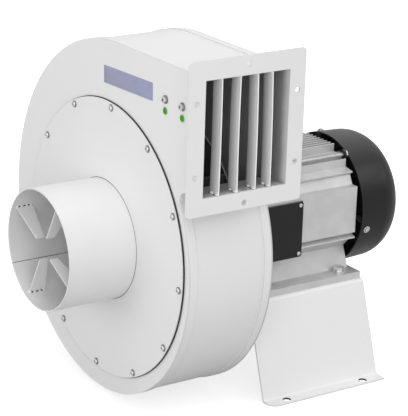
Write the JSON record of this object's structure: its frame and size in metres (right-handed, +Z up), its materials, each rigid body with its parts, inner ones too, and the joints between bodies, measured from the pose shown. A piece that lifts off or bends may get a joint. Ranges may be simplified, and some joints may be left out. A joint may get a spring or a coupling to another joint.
{
  "type": "centrifugal fan",
  "caption": "Direct-driven centrifugal fan: a closed impeller with arc blades in a welded steel scroll, round inlet spigot, flanged rectangular outlet, finned motor on a folded pedestal",
  "frame": {"origin": "Centre of the inlet spigot's open mouth, on the shaft's axis", "axes": "+X out of the rectangular outlet, +Y along the shaft from the inlet to the motor, +Z up from the floor flanges"},
  "size_m": [0.566, 0.667, 0.629],
  "materials": {
    "white_paint": "satin powder coat",
    "gasket": "matt closed-cell sheet",
    "zinc_steel": "bright zinc plate",
    "galvanised": "galvanised sheet",
    "green_plastic": "moulded cap",
    "dark_paint": "matt dip paint",
    "cast_iron": "machined casting",
    "steel": "turned steel",
    "bearing_steel": "ground steel",
    "lamination": "stacked sheet",
    "cast_aluminium": "blasted casting",
    "black_metal": "semi-matt black paint",
    "dark_plastic": "moulded plastic",
    "copper_wire": "varnished winding",
    "brown_plastic": "moulded block",
    "brass": "turned brass"
  },
  "bodies": {
    "housing": {"inlet_spigot": "white_paint", "inlet_guard": "white_paint", "inlet_cover": "white_paint", "cover_gasket": "gasket", "cover_screws": "zinc_steel", "cover_rivet_nuts": "zinc_steel", "inlet_nozzle": "galvanised", "front_plate": "white_paint", "rear_plate": "white_paint", "front_edge_strip": "white_paint", "rear_edge_strip": "white_paint", "scroll_wrapper": "white_paint", "outlet_flange": "white_paint", "outlet_vanes": "white_paint", "fitting_screws": "zinc_steel", "green_plugs": "green_plastic", "bearing_outer_rings": "bearing_steel", "bearing_balls": "bearing_steel", "spacer_ring": "cast_aluminium", "flange_bolts": "zinc_steel", "flange_nuts": "zinc_steel", "drive_end_shield": "cast_aluminium", "rear_end_shield": "black_metal", "motor_frame": "cast_aluminium", "stator_core": "lamination", "stator_windings": "copper_wire", "tie_bolts": "zinc_steel", "fan_cowl": "black_metal", "cowl_screws": "zinc_steel", "terminal_box": "black_metal", "terminal_cover": "black_metal", "terminal_screws": "zinc_steel", "terminal_block": "brown_plastic", "terminal_studs": "brass", "cable_gland": "dark_plastic", "motor_feet": "cast_aluminium", "foot_bolts": "zinc_steel", "foot_washers": "zinc_steel", "foot_nuts": "zinc_steel", "pedestal": "white_paint"},
    "rotor": {"impeller_back_plate": "dark_paint", "impeller_blades": "dark_paint", "impeller_shroud": "dark_paint", "impeller_hub": "cast_iron", "hub_rivets": "steel", "hub_washer": "steel", "hub_bolt": "steel", "shaft": "steel", "shaft_key": "steel", "rotor_core": "lamination", "rotor_end_rings": "cast_aluminium", "bearing_inner_rings": "bearing_steel", "cooling_fan": "dark_plastic", "fan_clip": "steel"}
  },
  "joints": [
    {"name": "rotor_spin", "type": "hinge", "parent": "housing", "child": "rotor", "pos_m": [0, 0.3, 0], "axis": [0, 1, 0], "continuous": true}
  ]
}
